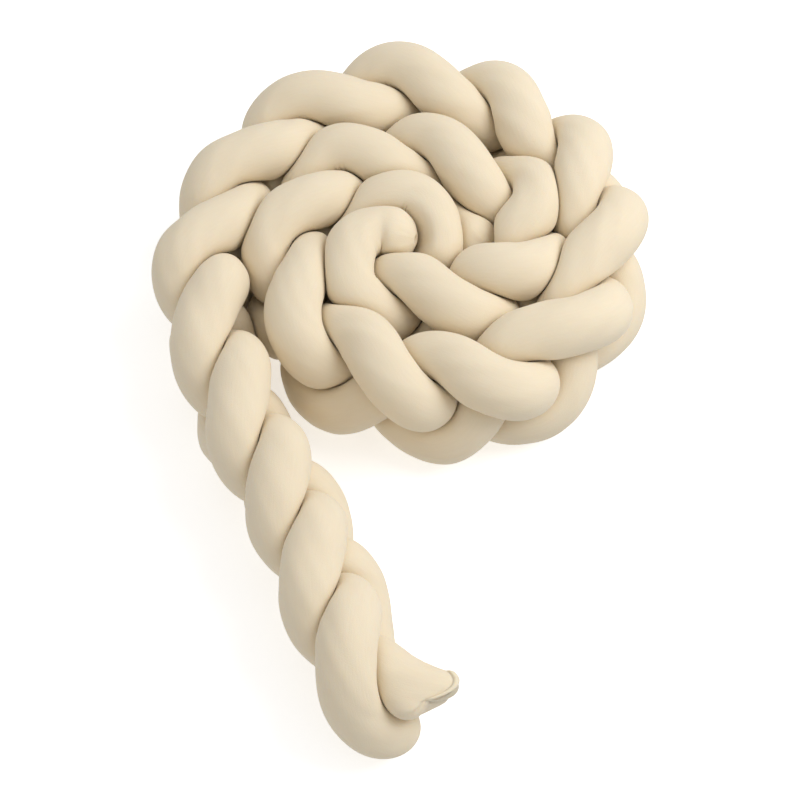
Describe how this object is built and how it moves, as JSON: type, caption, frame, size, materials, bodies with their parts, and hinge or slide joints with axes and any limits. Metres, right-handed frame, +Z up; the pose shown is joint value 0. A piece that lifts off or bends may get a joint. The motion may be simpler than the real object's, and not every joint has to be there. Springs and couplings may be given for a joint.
{
  "type": "braided crib bumper",
  "caption": "Crib bumper of stuffed fabric tubes plaited into a thick braid, standing on its edge and rolled into a loose spiral with one end left out.",
  "frame": {"origin": "centre of the plan bounding box, on the surface that the braid rests on", "axes": "+Z up, +Y from the loose end of the braid towards the roll, +X to the right"},
  "size_m": [0.4626, 0.7348, 0.1349],
  "materials": {
    "cream_fabric": "plain soft cotton or fleece, matte"
  },
  "bodies": {
    "root": {"strand_a": "cream_fabric", "strand_b": "cream_fabric", "strand_c": "cream_fabric"}
  },
  "joints": []
}
